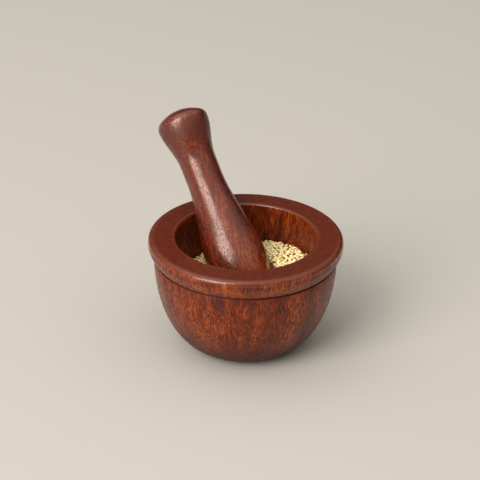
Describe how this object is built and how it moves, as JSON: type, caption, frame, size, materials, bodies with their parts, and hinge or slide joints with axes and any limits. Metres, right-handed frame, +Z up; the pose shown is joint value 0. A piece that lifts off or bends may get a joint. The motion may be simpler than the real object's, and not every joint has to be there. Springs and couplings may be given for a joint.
{
  "type": "mortar and pestle",
  "caption": "Turned wooden mortar with a collared flat rim and a flared wooden pestle that leans in a load of sesame seeds.",
  "frame": {"origin": "centre of the mortar's flat foot, on the surface it stands on", "axes": "+Z up along the mortar's own axis, front towards -Y, +X to the right; the pestle leans to the back left"},
  "size_m": [0.12, 0.1287, 0.1352],
  "materials": {
    "bowl_wood": "satin lacquer",
    "pestle_wood": "satin lacquer",
    "sesame": "smooth seed coat"
  },
  "bodies": {
    "mortar": {"mortar_bowl": "bowl_wood"},
    "sesame": {"sesame_heap": "sesame", "sesame_grains": "sesame"},
    "pestle": {"pestle": "pestle_wood"}
  },
  "joints": [
    {"name": "grinding_turn", "type": "hinge", "parent": "mortar", "child": "sesame", "pos_m": [0, 0, 0.0343], "axis": [0, 0, 1], "continuous": true},
    {"name": "pestle_lift", "type": "slide", "parent": "sesame", "child": "pestle", "axis": [-0.2022, 0.2684, 0.9419], "range_m": [0, 0.08]}
  ]
}
